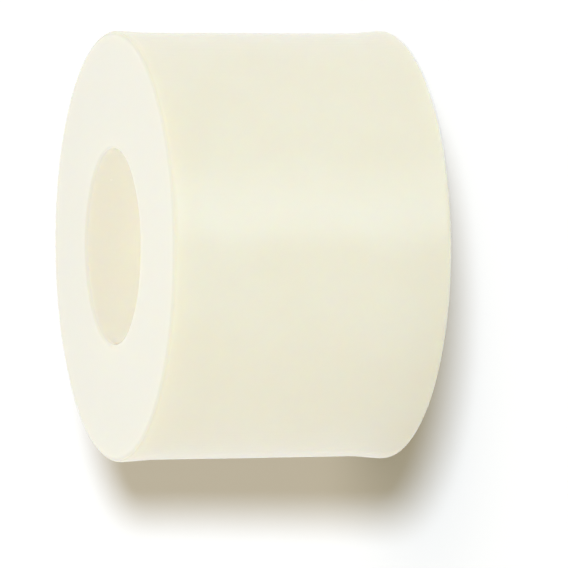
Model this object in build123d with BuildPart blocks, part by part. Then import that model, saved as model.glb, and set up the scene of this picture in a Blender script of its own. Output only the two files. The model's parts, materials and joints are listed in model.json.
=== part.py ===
from build123d import *
import os

# Plain round nylon spacer, sizes in millimetres.
# It stands on one end: the bore runs along +Z and the origin is the centre of the lower end face.

# Driving dimensions
outer_diameter = 9.525  # 3/8 in
bore_diameter = 4.343  # 0.171 in, clears a No. 8 machine screw
length = 6.35  # 1/4 in
outer_edge_radius = 0.12
bore_mouth_radius = 0.10

# Worked-out sizes
outer_radius = outer_diameter / 2
bore_radius = bore_diameter / 2
wall = outer_radius - bore_radius

# The spacer is one turned piece: half its section, revolved about the bore axis.
with BuildPart() as spacer:
    with BuildSketch(Plane.XZ):
        with Locations((bore_radius, 0)):
            Rectangle(wall, length, align=(Align.MIN, Align.MIN))
    revolve(axis=Axis.Z)

    # The bore's two mouths are the smallest rings, and the two outer rims are the largest.
    rims = spacer.edges().filter_by(GeomType.CIRCLE).group_by(SortBy.RADIUS)
    fillet(rims[0], bore_mouth_radius)
    fillet(rims[-1], outer_edge_radius)

spacer.part.label = "spacer"

os.makedirs("parts", exist_ok=True)
export_step(spacer.part, "parts/spacer.step")
print("spacer: volume", round(spacer.part.volume, 2), "mm3, size", spacer.part.bounding_box().size)
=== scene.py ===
"""A natural nylon spacer on a white light table, seen as in the photograph.

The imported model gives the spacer's place and sizes. This script models the spacer again with a fine
mesh, dresses it in nylon, and sets the table, the lamps and the camera. Lengths are in metres.
"""

import json
import logging
import math
from dataclasses import dataclass
from enum import Enum
from typing import Callable

import bmesh
import bpy
from mathutils import Matrix, Vector


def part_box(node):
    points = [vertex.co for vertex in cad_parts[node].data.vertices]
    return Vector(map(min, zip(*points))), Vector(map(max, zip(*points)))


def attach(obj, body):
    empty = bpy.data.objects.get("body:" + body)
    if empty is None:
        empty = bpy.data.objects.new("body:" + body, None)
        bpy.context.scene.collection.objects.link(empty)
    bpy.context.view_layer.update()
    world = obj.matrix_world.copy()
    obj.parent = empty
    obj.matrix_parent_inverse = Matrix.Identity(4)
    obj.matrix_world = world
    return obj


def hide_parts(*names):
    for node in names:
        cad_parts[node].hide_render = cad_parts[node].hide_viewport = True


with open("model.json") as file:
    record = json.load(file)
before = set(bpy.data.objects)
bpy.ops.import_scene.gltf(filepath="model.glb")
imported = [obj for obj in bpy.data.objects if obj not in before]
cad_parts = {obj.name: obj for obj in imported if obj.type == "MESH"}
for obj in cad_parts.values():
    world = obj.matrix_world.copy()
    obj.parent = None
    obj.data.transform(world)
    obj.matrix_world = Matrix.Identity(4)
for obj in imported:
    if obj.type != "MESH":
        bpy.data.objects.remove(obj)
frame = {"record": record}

Colour = tuple[float, float, float, float]
Tint = tuple[float, float, float]

MM = 0.001
WHITE: Colour = (1.0, 1.0, 1.0, 1.0)
NO_TINT: Tint = (1.0, 1.0, 1.0)
NODE = "spacer"
BODY = "root"

log = logging.getLogger("spacer")


class Ring(Enum):
    """The two kinds of ring edge at each end of the spacer."""

    RIM = "outer rim"
    MOUTH = "bore mouth"


class Socket:
    """One output of a shader node, with the sums that the finishes use."""

    def __init__(self, sheet: "NodeSheet", out: bpy.types.NodeSocket) -> None:
        """Keep the sheet that new Math nodes go on, and the output itself."""
        self.sheet = sheet
        self.out = out

    def _math(self, operation: str, *values: "Socket | float") -> "Socket":
        """Add one Math node.

        Args:
            operation: The Math node's operation.
            values: Its inputs in order, sockets or numbers.

        Returns:
            The node's result.
        """
        inputs = dict(enumerate(values))
        return self.sheet.add("ShaderNodeMath", {"operation": operation}, inputs)

    def __add__(self, other: "Socket | float") -> "Socket":
        """Sum."""
        return self._math("ADD", self, other)

    __radd__ = __add__

    def __sub__(self, other: "Socket | float") -> "Socket":
        """Difference."""
        return self._math("SUBTRACT", self, other)

    def __rsub__(self, other: float) -> "Socket":
        """Difference from a number."""
        return self._math("SUBTRACT", other, self)

    def __mul__(self, other: "Socket | float") -> "Socket":
        """Product."""
        return self._math("MULTIPLY", self, other)

    __rmul__ = __mul__

    def __abs__(self) -> "Socket":
        """Size without its sign."""
        return self._math("ABSOLUTE", self)

    def larger(self, other: "Socket | float") -> "Socket":
        """The larger of two values."""
        return self._math("MAXIMUM", self, other)

    def ramp(self, low: float, high: float) -> "Socket":
        """Rise smoothly from 0 to 1.

        Args:
            low: The value up to which the result is 0.
            high: The value from which it is 1.

        Returns:
            The risen value.
        """
        settings = {"interpolation_type": "SMOOTHSTEP"}
        values = {"Value": self, "From Min": low, "From Max": high}
        return self.sheet.add("ShaderNodeMapRange", settings, values)


class NodeSheet:
    """A node tree, with one method that adds any node to it."""

    def __init__(self, tree: bpy.types.NodeTree) -> None:
        """Start from an empty tree."""
        tree.nodes.clear()
        self.tree = tree

    def add(
        self,
        kind: str,
        settings: dict[str, object] | None = None,
        values: dict[str | int, object] | None = None,
        output: str | int = 0,
    ) -> Socket:
        """Add a node, set it up and join its inputs.

        Args:
            kind: The node's type name.
            settings: Properties of the node, set before its inputs.
            values: Inputs by name or number, each a socket, a number or a vector.
            output: The output to hand back, by name or number.

        Returns:
            That output of the new node, or the node's first input where it has no output.
        """
        node = self.tree.nodes.new(kind)
        for name, setting in (settings or {}).items():
            setattr(node, name, setting)
        for key, value in (values or {}).items():
            if isinstance(value, Socket):
                self.tree.links.new(value.out, node.inputs[key])
            else:
                node.inputs[key].default_value = value
        ports = node.outputs or node.inputs
        return Socket(self, ports[output])


@dataclass(frozen=True)
class NaturalNylon:
    """Natural nylon 6/6: milky, satin and a little translucent, with a drawn wall and cut ends.

    The length and the bore's radius are the spacer's. The end's colour and finish begin end_edge
    inside each end and are full at end_blend, and the bore's colour gives way to the wall's between
    mouth_start and mouth_end outside the bore. The bore's colour is paler and less yellow than the
    wall's as painted reflection: it stands in for the white light that the bore's wall reflects.
    """

    length: float
    bore: float
    wall: Colour = (0.918, 0.875, 0.711, 1.0)
    wall_deep: Colour = (0.911, 0.862, 0.691, 1.0)
    cut_end: Colour = (0.872, 0.852, 0.722, 1.0)
    # Painted reflection: paler than the wall, standing in for the white light that the bore reflects.
    bore_pale_painted_reflection: Colour = (0.876, 0.854, 0.766, 1.0)
    refraction: float = 1.53
    scatter_share: float = 1.0
    scatter_reach: tuple[float, float, float] = (1.0, 0.85, 0.55)
    scatter_scale: float = 0.25 * MM
    wall_roughness: float = 0.25
    end_roughness: float = 0.10
    patchy_roughness: float = 0.08
    cloud_edges: tuple[float, float] = (0.35, 0.65)
    line_depth: float = 0.0025 * MM
    grain_share: float = 0.4
    end_edge: float = 0.05 * MM
    end_blend: float = 0.01 * MM
    mouth_start: float = 0.02 * MM
    mouth_end: float = 0.12 * MM

    def material(self) -> bpy.types.Material:
        """Build the material.

        Returns:
            A material with one Principled shader, fed by Object coordinates in millimetres.
        """
        finish = bpy.data.materials.new("nylon_natural")
        finish.use_nodes = True
        sheet = NodeSheet(finish.node_tree)
        place = sheet.add("ShaderNodeTexCoord", output="Object")
        place = sheet.add(
            "ShaderNodeVectorMath", {"operation": "SCALE"}, {0: place, "Scale": 1 / MM}
        )
        end = self._end_mask(sheet, place)
        radius = self._radius(sheet, place)
        cloud = self._noise(sheet, place, scale=0.45, detail=3.0)
        values = {
            "Base Color": self._colour(sheet, cloud, end, radius),
            "Roughness": self._roughness(sheet, place, end),
            "Normal": self._relief(sheet, place, end, radius),
            "IOR": self.refraction,
            "Subsurface Weight": self.scatter_share,
            "Subsurface Radius": self.scatter_reach,
            "Subsurface Scale": self.scatter_scale,
        }
        shader = sheet.add("ShaderNodeBsdfPrincipled", {}, values)
        sheet.add("ShaderNodeOutputMaterial", {}, {"Surface": shader})
        return finish

    def _end_mask(self, sheet: NodeSheet, place: Socket) -> Socket:
        """Tell the two cut ends from the outer wall and the bore.

        Args:
            sheet: The material's node sheet.
            place: The point on the spacer, in millimetres.

        Returns:
            1 on a cut end and 0 on the wall and in the bore.
        """
        z = sheet.add("ShaderNodeSeparateXYZ", {}, {0: place}, output="Z")
        half = self.length / 2
        return abs(z - half / MM).ramp((half - self.end_edge) / MM, (half - self.end_blend) / MM)

    def _radius(self, sheet: NodeSheet, place: Socket) -> Socket:
        """Measure how far a point is from the bore's axis.

        Args:
            sheet: The material's node sheet.
            place: The point on the spacer, in millimetres.

        Returns:
            The distance, in millimetres.
        """
        values = {0: place, 1: (1.0, 1.0, 0.0)}
        flat = sheet.add("ShaderNodeVectorMath", {"operation": "MULTIPLY"}, values)
        return sheet.add("ShaderNodeVectorMath", {"operation": "LENGTH"}, {0: flat}, output="Value")

    def _noise(
        self,
        sheet: NodeSheet,
        place: Socket,
        scale: float,
        detail: float,
        stretch: tuple[float, float, float] = (1.0, 1.0, 1.0),
    ) -> Socket:
        """Make a noise value.

        Args:
            sheet: The material's node sheet.
            place: Where to read it, in millimetres.
            scale: Features in a millimetre.
            detail: Octaves.
            stretch: What the place is multiplied by first, so that 0.02 draws a long streak.

        Returns:
            The noise, from 0 to 1, about 0.5.
        """
        moved = sheet.add("ShaderNodeVectorMath", {"operation": "MULTIPLY"}, {0: place, 1: stretch})
        values = {"Vector": moved, "Scale": scale, "Detail": detail, "Roughness": 0.55}
        return sheet.add("ShaderNodeTexNoise", {}, values)

    def _colour(self, sheet: NodeSheet, cloud: Socket, end: Socket, radius: Socket) -> Socket:
        """Lay soft clouds of the two wall colours, with cut ends and a bore that are paler; the
        bore's paleness is painted reflection.

        Args:
            sheet: The material's node sheet.
            cloud: Slow noise that parts the two wall colours.
            end: The mask of the cut ends.
            radius: The distance from the bore's axis, in millimetres.

        Returns:
            The colour.
        """
        colour = self._mix(sheet, cloud.ramp(*self.cloud_edges), self.wall, self.wall_deep)
        outside = radius.ramp(
            (self.bore + self.mouth_start) / MM, (self.bore + self.mouth_end) / MM
        )
        # Painted reflection: the bore's paler colour stands in for the white light that its wall
        # reflects.
        return self._mix(sheet, end, self._mix(sheet, outside, self.bore_pale_painted_reflection, colour), self.cut_end)

    def _mix(
        self,
        sheet: NodeSheet,
        share: Socket,
        first: Socket | Colour,
        second: Socket | Colour,
    ) -> Socket:
        """Mix two colours.

        Args:
            sheet: The material's node sheet.
            share: How much of the second colour there is, from 0 to 1.
            first: The colour at 0.
            second: The colour at 1.

        Returns:
            The mixed colour.
        """
        values = {"Factor": share, 6: first, 7: second}
        return sheet.add("ShaderNodeMix", {"data_type": "RGBA"}, values, output=2)

    def _roughness(self, sheet: NodeSheet, place: Socket, end: Socket) -> Socket:
        """Make the walls satin, with duller ends and soft patches.

        Args:
            sheet: The material's node sheet.
            place: Where to read the patches, in millimetres.
            end: The mask of the cut ends.

        Returns:
            The roughness.
        """
        patch = self._noise(sheet, place, scale=1.1, detail=4.0)
        return self.wall_roughness + end * self.end_roughness + (patch - 0.5) * self.patchy_roughness

    def _relief(self, sheet: NodeSheet, place: Socket, end: Socket, radius: Socket) -> Socket:
        """Cut fine lines: drawn along the walls, turned in rings on the ends, a grain over both.

        Args:
            sheet: The material's node sheet.
            place: Where to read the lines and the grain, in millimetres.
            end: The mask of the cut ends.
            radius: The distance from the bore's axis, in millimetres.

        Returns:
            The normal.
        """
        drawn = self._noise(sheet, place, scale=9.0, detail=3.0, stretch=(1.0, 1.0, 0.02))
        turned = sheet.add(
            "ShaderNodeTexNoise",
            {"noise_dimensions": "1D"},
            {"W": radius, "Scale": 8.0, "Detail": 3.0},
        )
        grain = self._noise(sheet, place, scale=14.0, detail=2.0)
        height = drawn * (1 - end) + turned * end + grain * self.grain_share
        values = {"Strength": 1.0, "Distance": self.line_depth, "Height": height}
        return sheet.add("ShaderNodeBump", {}, values)


@dataclass
class SpacerTube:
    """The spacer's one piece: a drawn nylon tube, cut square, with its rims and mouths softened."""

    radius: float
    bore: float
    length: float
    rim_round: float = 0.12 * MM
    mouth_round: float = 0.10 * MM
    upper_bell: float = 0.045 * MM
    lower_bell: float = 0.06 * MM
    bell_reach: float = 0.9 * MM
    around: int = 256
    along: int = 48
    across: int = 18
    round_steps: int = 6
    wave_depth: float = 0.012 * MM
    wave_size: float = 2.6 * MM
    near: float = 0.001 * MM
    edge_share: float = 0.999
    level_normal: float = 0.9

    @classmethod
    def from_frame(cls) -> "SpacerTube":
        """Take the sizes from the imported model.

        Returns:
            A tube as large as the CAD node, with the bore of the record's mount.
        """
        low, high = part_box(NODE)
        mounts = {mount["name"]: mount for mount in frame["record"]["mounts"]}
        bore = mounts["bore"]["dims"]["r_mm"] * MM
        return cls(radius=(high.x - low.x) / 2, bore=bore, length=high.z - low.z)

    def build(self) -> bpy.types.Object:
        """Model the tube.

        Returns:
            The finished object, with its origin at the centre of the lower end.
        """
        bpy.ops.object.select_all(action="DESELECT")
        bpy.ops.mesh.primitive_cylinder_add(
            vertices=self.around,
            radius=self.radius,
            depth=self.length,
            end_fill_type="NGON",
            location=(0.0, 0.0, self.length / 2),
        )
        tube = bpy.context.object
        tube.name = "spacer_nylon"
        bpy.ops.object.transform_apply(location=True, rotation=True, scale=True)
        bpy.ops.object.mode_set(mode="EDIT")
        self._open_bore(tube)
        self._cut_rows(tube)
        self._bell(tube, self.length, self.upper_bell)
        self._bell(tube, 0.0, self.lower_bell)
        self._soften(tube, Ring.RIM)
        self._soften(tube, Ring.MOUTH)
        bpy.ops.mesh.select_all(action="SELECT")
        bpy.ops.mesh.normals_make_consistent(inside=False)
        bpy.ops.object.mode_set(mode="OBJECT")
        self._wave(tube)
        bpy.ops.object.shade_smooth()
        return tube

    def _pick(
        self,
        tube: bpy.types.Object,
        part: str,
        test: Callable[[bmesh.types.BMFace | bmesh.types.BMEdge], bool],
    ) -> None:
        """Select only the faces or edges that pass a test.

        Args:
            tube: The object in edit mode.
            part: "faces" or "edges".
            test: What a chosen face or edge answers True to.
        """
        mode = {"faces": "FACE", "edges": "EDGE"}[part]
        bpy.ops.mesh.select_all(action="DESELECT")
        bpy.ops.mesh.select_mode(type=mode)
        shape = bmesh.from_edit_mesh(tube.data)
        for item in getattr(shape, part):
            item.select_set(bool(test(item)))
        shape.select_flush_mode()
        bmesh.update_edit_mesh(tube.data)

    def _open_bore(self, tube: bpy.types.Object) -> None:
        """Inset both ends by the wall, and bridge the two inner discs through the tube.

        Args:
            tube: The object in edit mode.
        """
        self._pick(tube, "faces", lambda face: abs(face.normal.z) > self.level_normal)
        bpy.ops.mesh.inset(thickness=self.radius - self.bore, use_boundary=True)
        self._pick(
            tube,
            "faces",
            lambda face: abs(face.normal.z) > self.level_normal and len(face.verts) == self.around,
        )
        bpy.ops.mesh.bridge_edge_loops()

    def _cut_rows(self, tube: bpy.types.Object) -> None:
        """Cut the walls into rows along the length, and the ends into rings across the wall.

        Args:
            tube: The object in edit mode.
        """

        def lengthwise(edge: bmesh.types.BMEdge) -> bool:
            """Tell an edge that runs the spacer's whole length."""
            return abs(edge.verts[0].co.z - edge.verts[1].co.z) > self.length / 2

        def radial(edge: bmesh.types.BMEdge) -> bool:
            """Tell an edge that crosses an end, from the bore to the rim."""
            reach = [vert.co.xy.length for vert in edge.verts]
            return abs(reach[0] - reach[1]) > (self.radius - self.bore) / 2

        self._pick(tube, "edges", lengthwise)
        bpy.ops.mesh.subdivide(number_cuts=self.along)
        self._pick(tube, "edges", radial)
        bpy.ops.mesh.subdivide(number_cuts=self.across)

    def _bell(self, tube: bpy.types.Object, height: float, swell: float) -> None:
        """Swell one end's rim, as a cut-off tool leaves it, fading out along the wall.

        Args:
            tube: The object in edit mode.
            height: The end's place on the axis.
            swell: How far the rim's radius grows.
        """

        def on_rim(edge: bmesh.types.BMEdge) -> bool:
            """Tell an edge of this end's outermost ring."""
            return all(
                vert.co.xy.length > self.radius * self.edge_share
                and abs(vert.co.z - height) < self.near
                for vert in edge.verts
            )

        self._pick(tube, "edges", on_rim)
        wider = 1.0 + swell / self.radius
        bpy.ops.transform.resize(
            value=(wider, wider, 1.0),
            orient_type="GLOBAL",
            center_override=(0.0, 0.0, height),
            use_proportional_edit=True,
            proportional_edit_falloff="SMOOTH",
            proportional_size=self.bell_reach,
        )

    def _soften(self, tube: bpy.types.Object, ring: Ring) -> None:
        """Round the ring edges of one kind at both ends.

        Args:
            tube: The object in edit mode.
            ring: Which of the two kinds.
        """
        inside, outside, size = {
            Ring.RIM: (self.radius * self.edge_share, math.inf, self.rim_round),
            Ring.MOUTH: (0.0, self.bore / self.edge_share, self.mouth_round),
        }[ring]
        middle = self.length / 2

        def on_ring(edge: bmesh.types.BMEdge) -> bool:
            """Tell an edge of the chosen ring, at either end."""
            return all(
                inside < vert.co.xy.length < outside
                and abs(abs(vert.co.z - middle) - middle) < self.near
                for vert in edge.verts
            )

        self._pick(tube, "edges", on_ring)
        bpy.ops.mesh.bevel(
            offset=size, segments=self.round_steps, profile=0.5, affect="EDGES", clamp_overlap=True
        )

    def _wave(self, tube: bpy.types.Object) -> None:
        """Push the skin in and out by a few thousandths of a millimetre, as drawn nylon is.

        Args:
            tube: The object in object mode.
        """
        texture = bpy.data.textures.new("drawn_wave", "CLOUDS")
        texture.noise_scale = self.wave_size
        bpy.ops.object.modifier_add(type="DISPLACE")
        wave = tube.modifiers[-1]
        wave.texture = texture
        wave.texture_coords = "LOCAL"
        wave.strength = self.wave_depth
        wave.mid_level = 0.5
        bpy.ops.object.modifier_apply(modifier=wave.name)

    def dress(self, tube: bpy.types.Object) -> None:
        """Give the tube its finish, and tell the frame what it stands for.

        Args:
            tube: The finished tube.
        """
        tube.data.materials.append(NaturalNylon(self.length, self.bore).material())
        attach(tube, BODY)
        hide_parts(NODE)


class LampShape(Enum):
    """The outline of a flat lamp."""

    BOX = "RECTANGLE"
    DISC = "DISK"


def direction(azimuth_deg: float, elevation_deg: float) -> Vector:
    """Point from the spacer to a lamp.

    Args:
        azimuth_deg: Turn from the camera's side towards the top of the photograph.
        elevation_deg: Rise above the table, or fall below it where negative.

    Returns:
        A vector of length one.
    """
    turn = math.radians(azimuth_deg)
    rise = math.radians(elevation_deg)
    return Vector((math.sin(turn) * math.cos(rise), -math.cos(turn) * math.cos(rise), math.sin(rise)))


@dataclass(frozen=True)
class SoftSun:
    """A distant lamp with a soft edge. At level 1 it lights a white sheet that faces it to white."""

    name: str
    azimuth_deg: float
    elevation_deg: float
    level: float
    spread_deg: float
    tint: Tint = NO_TINT
    table_only: bool = False
    distance: float = 100 * MM

    def build(self, floor: bpy.types.Object) -> bpy.types.Object:
        """Add the lamp.

        Args:
            floor: The table's top, which is all that a table-only lamp lights.

        Returns:
            The lamp.
        """
        towards = direction(self.azimuth_deg, self.elevation_deg)
        bpy.ops.object.light_add(type="SUN", location=towards * self.distance)
        lamp = bpy.context.object
        lamp.name = self.name
        lamp.rotation_euler = towards.to_track_quat("Z", "Y").to_euler()
        lamp.data.energy = math.pi * self.level
        lamp.data.angle = math.radians(self.spread_deg)
        lamp.data.color = self.tint
        if self.table_only:
            lit = bpy.data.collections.new(self.name + "_lit")
            lit.objects.link(floor)
            lamp.light_linking.receiver_collection = lit
        return lamp


@dataclass(frozen=True)
class FlatLamp:
    """A flat lamp near the spacer, facing it. At level 1 its face is as bright as white."""

    name: str
    shape: LampShape
    azimuth_deg: float
    elevation_deg: float
    distance: float
    width: float
    height: float
    level: float
    tint: Tint = NO_TINT

    def build(self, aim: Vector) -> bpy.types.Object:
        """Add the lamp.

        Args:
            aim: The point that it faces.

        Returns:
            The lamp.
        """
        towards = direction(self.azimuth_deg, self.elevation_deg)
        bpy.ops.object.light_add(type="AREA", location=aim + towards * self.distance)
        lamp = bpy.context.object
        lamp.name = self.name
        lamp.rotation_euler = towards.to_track_quat("Z", "Y").to_euler()
        lamp.data.shape = self.shape.value
        lamp.data.size = self.width
        lamp.data.size_y = self.height
        area = self.width * self.height
        if self.shape is LampShape.DISC:
            area *= math.pi / 4
        lamp.data.energy = self.level * math.pi * area
        lamp.data.color = self.tint
        return lamp


@dataclass(frozen=True)
class ShadeFlag:
    """A flag card between a lamp and the table, which widens the spacer's soft shadow.

    The photographed spacer lies on its side, and its shadow falls along its whole length. This one
    stands on its end, so the card lays the same long shadow beside it. Only shadows show the card.
    The two ends are the places on the table, X and Y, that the middles of its round ends shade.
    """

    width: float
    near_end: tuple[float, float] = (-1.45 * MM, -0.2 * MM)
    far_end: tuple[float, float] = (-2.05 * MM, 20.0 * MM)
    distance: float = 60 * MM
    around: int = 64

    def build(self, sun: SoftSun) -> bpy.types.Object:
        """Hang the card level, in the lamp's way.

        Args:
            sun: The lamp whose light it takes from the table.

        Returns:
            The card.
        """
        bpy.ops.object.select_all(action="DESELECT")
        bpy.ops.mesh.primitive_circle_add(
            vertices=self.around, radius=self.width / 2, fill_type="NGON"
        )
        card = bpy.context.object
        card.name = "shade_flag"
        bpy.ops.object.mode_set(mode="EDIT")
        bpy.ops.mesh.select_mode(type="VERT")
        bpy.ops.mesh.select_all(action="DESELECT")
        shape = bmesh.from_edit_mesh(card.data)
        for vert in shape.verts:
            vert.select_set(vert.co.y > 0.0)
        bmesh.update_edit_mesh(card.data)
        reach = Vector((*self.far_end, 0.0)) - Vector((*self.near_end, 0.0))
        bpy.ops.transform.translate(value=reach)
        bpy.ops.object.mode_set(mode="OBJECT")
        towards = direction(sun.azimuth_deg, sun.elevation_deg)
        card.location = Vector((*self.near_end, 0.0)) + towards * self.distance
        bpy.ops.object.transform_apply(location=True, rotation=True, scale=True)
        card.visible_camera = False
        card.visible_diffuse = False
        card.visible_glossy = False
        card.visible_transmission = False
        return card


@dataclass
class LightTable:
    """A white light table that the spacer stands on, with its lamps and the room's light. Its top's
    faint warm glow is painted light, which stands in for warm light let through the nylon into the
    shadow.

    The table's top casts no shadow and isn't reflected, so the two box lamps under it light the
    spacer's wall and draw the soft bright band along it. Bounced light meets half of the top. The
    table-only lamps draw the spacer's shadow on it, and a round lamp at the foot of the bore is the
    bright table seen through the hole. The foot is the spacer's outer radius, and the middle is half
    its length. The bore lamp is bore_lamp_width bore radii across.
    """

    foot: float
    bore: float
    middle: float
    half_width: float = 1500 * MM
    gap: float = 0.01 * MM
    white: float = 0.1
    sheer: float = 0.5
    room_level: float = 0.808
    lamp_distance: float = 60 * MM
    bore_lamp_width: float = 1.95
    band_tint: Tint = (0.55, 0.75, 1.0)
    # Painted light: the top's own warm glow stands in for warm light let through the nylon into the
    # shadow.
    painted_warm_glow: Colour = (1.0, 0.86, 0.55, 1.0)
    painted_warm_glow_level: float = 0.287
    shade_tint: Tint = (0.78, 0.86, 1.0)
    side_shade_tint: Tint = (1.0, 0.87, 0.70)

    def suns(self) -> tuple[SoftSun, ...]:
        """List the distant lamps.

        Returns:
            Three weak ones on all, and two that draw the shadow on the table.
        """
        return (
            SoftSun("low_sun", -45, 30, level=0.02, spread_deg=30),
            SoftSun("top_sun", 90, 60, level=0.03, spread_deg=30),
            SoftSun("back_sun", 180, 30, level=0.055, spread_deg=30),
            SoftSun("shade_sun", 0, 20, 20.2, 1.3, self.shade_tint, table_only=True),
            SoftSun("side_shade_sun", 130, 50, 1.7, 50, self.side_shade_tint, table_only=True),
        )

    def flat_lamps(self) -> tuple[FlatLamp, ...]:
        """List the flat lamps.

        Returns:
            Two for the bright band, one over the upper end and one at the foot of the bore.
        """
        box, disc = LampShape.BOX, LampShape.DISC
        far, tint = self.lamp_distance, self.band_tint
        across = self.bore_lamp_width * self.bore
        foot = self.middle - 2 * self.gap
        return (
            FlatLamp("band_box", box, 14, -13.5, far, 24 * MM, 18 * MM, level=1.15, tint=tint),
            FlatLamp("band_fade", box, 22, -13.5, far, 38 * MM, 18 * MM, level=1.22, tint=tint),
            FlatLamp("face_lamp", disc, 0, 67, 12 * MM, 4 * MM, 4 * MM, level=0.75),
            FlatLamp("bore_lamp", disc, 0, -90, foot, across, across, level=2.58),
        )

    def build(self) -> None:
        """Make the table, the room's light and the lamps."""
        floor = self._floor()
        self._room()
        suns = {sun.name: sun for sun in self.suns()}
        for sun in suns.values():
            sun.build(floor)
        ShadeFlag(width=2 * self.foot).build(suns["shade_sun"])
        for lamp in self.flat_lamps():
            lamp.build(Vector((0.0, 0.0, self.middle)))

    def _floor(self) -> bpy.types.Object:
        """Lay the table's top just under the spacer.

        Returns:
            The floor.
        """
        bpy.ops.object.select_all(action="DESELECT")
        bpy.ops.mesh.primitive_plane_add(size=2 * self.half_width, location=(0.0, 0.0, -self.gap))
        floor = bpy.context.object
        floor.name = "table_top"
        bpy.ops.object.transform_apply(location=True, rotation=True, scale=True)
        floor.visible_shadow = False
        floor.visible_glossy = False
        floor.data.materials.append(self._floor_finish())
        return floor

    def _floor_finish(self) -> bpy.types.Material:
        """Make a plain matt top with a faint warm glow of its own, which tints the shadow. The glow
        is
        painted light: it stands in for warm light let through the nylon into the shadow.

        Bounced light passes through it by the sheer share, so that the shadow doesn't darken the
        wall beside it too much.

        Returns:
            The table top's material.
        """
        finish = bpy.data.materials.new("table_white")
        finish.use_nodes = True
        sheet = NodeSheet(finish.node_tree)
        white = (self.white, self.white, self.white, 1.0)
        matt = sheet.add("ShaderNodeBsdfDiffuse", {}, {"Color": white})
        # Painted light: warm emission of the top itself, which tints the shadow as if light came
        # through the nylon.
        values = {"Color": self.painted_warm_glow, "Strength": self.painted_warm_glow_level}
        painted_warm_glow = sheet.add("ShaderNodeEmission", {}, values)
        both = sheet.add("ShaderNodeAddShader", {}, {0: matt, 1: painted_warm_glow})
        clear = sheet.add("ShaderNodeBsdfTransparent")
        bounced = sheet.add("ShaderNodeLightPath", output="Is Diffuse Ray")
        mixed = sheet.add("ShaderNodeMixShader", {}, {0: bounced * self.sheer, 1: both, 2: clear})
        sheet.add("ShaderNodeOutputMaterial", {}, {"Surface": mixed})
        return finish

    def _room(self) -> None:
        """Make the room white where it is seen or reflected, and at its own level where it lights."""
        world = bpy.data.worlds.new("white_room")
        bpy.context.scene.world = world
        world.use_nodes = True
        sheet = NodeSheet(world.node_tree)
        camera = sheet.add("ShaderNodeLightPath", output="Is Camera Ray")
        glossy = sheet.add("ShaderNodeLightPath", output="Is Glossy Ray")
        through = sheet.add("ShaderNodeLightPath", output="Is Transmission Ray")
        seen = camera.larger(glossy).larger(through)
        strength = seen * (1.0 - self.room_level) + self.room_level
        values = {"Color": WHITE, "Strength": strength}
        light = sheet.add("ShaderNodeBackground", {}, values)
        sheet.add("ShaderNodeOutputWorld", {}, {"Surface": light})


@dataclass(frozen=True)
class PhotoCamera:
    """The photograph's view: a long lens, rolled so that the bore lies across the picture.

    The spacer's upper end is at the picture's left. The three face_ lengths are where the centre of
    that end lies from the camera: to the right, down and ahead, in the picture's own directions.
    """

    lens_mm: float = 405.6
    sensor_mm: float = 36.0
    elevation_deg: float = 17.63
    tilt_deg: float = -0.51
    face_right: float = -3.825 * MM
    face_down: float = -0.835 * MM
    face_ahead: float = 142.55 * MM

    def build(self, face: Vector) -> bpy.types.Object:
        """Add the camera and make it the scene's.

        Args:
            face: The centre of the spacer's upper end.

        Returns:
            The camera.
        """
        rise = math.radians(self.elevation_deg)
        tilt = math.radians(self.tilt_deg)
        ahead = Vector((0.0, math.cos(rise), -math.sin(rise)))
        along = Vector((0.0, -math.sin(rise), -math.cos(rise)))
        side = Vector((-1.0, 0.0, 0.0))
        right = along * math.cos(tilt) - side * math.sin(tilt)
        down = along * math.sin(tilt) + side * math.cos(tilt)
        place = face - right * self.face_right - down * self.face_down - ahead * self.face_ahead
        bpy.ops.object.camera_add(location=place)
        camera = bpy.context.object
        camera.name = "photo_camera"
        camera.rotation_euler = Matrix((right, -down, -ahead)).transposed().to_euler()
        camera.data.sensor_fit = "HORIZONTAL"
        camera.data.sensor_width = self.sensor_mm
        camera.data.lens = self.lens_mm
        camera.data.clip_start = 10 * MM
        camera.data.clip_end = 10.0
        bpy.context.scene.camera = camera
        return camera


def main() -> None:
    """Build the spacer, its table, the lamps and the camera, in that order."""
    logging.basicConfig(level=logging.INFO, format="%(name)s: %(message)s")
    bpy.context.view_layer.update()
    spacer = SpacerTube.from_frame()
    tube = spacer.build()
    spacer.dress(tube)
    log.info("%s: %d faces", tube.name, len(tube.data.polygons))
    LightTable(foot=spacer.radius, bore=spacer.bore, middle=spacer.length / 2).build()
    log.info("table and lamps in place")
    PhotoCamera().build(Vector((0.0, 0.0, spacer.length)))
    log.info("camera in place")
    bpy.context.scene.view_settings.view_transform = "Standard"


if __name__ == "__main__":
    main()
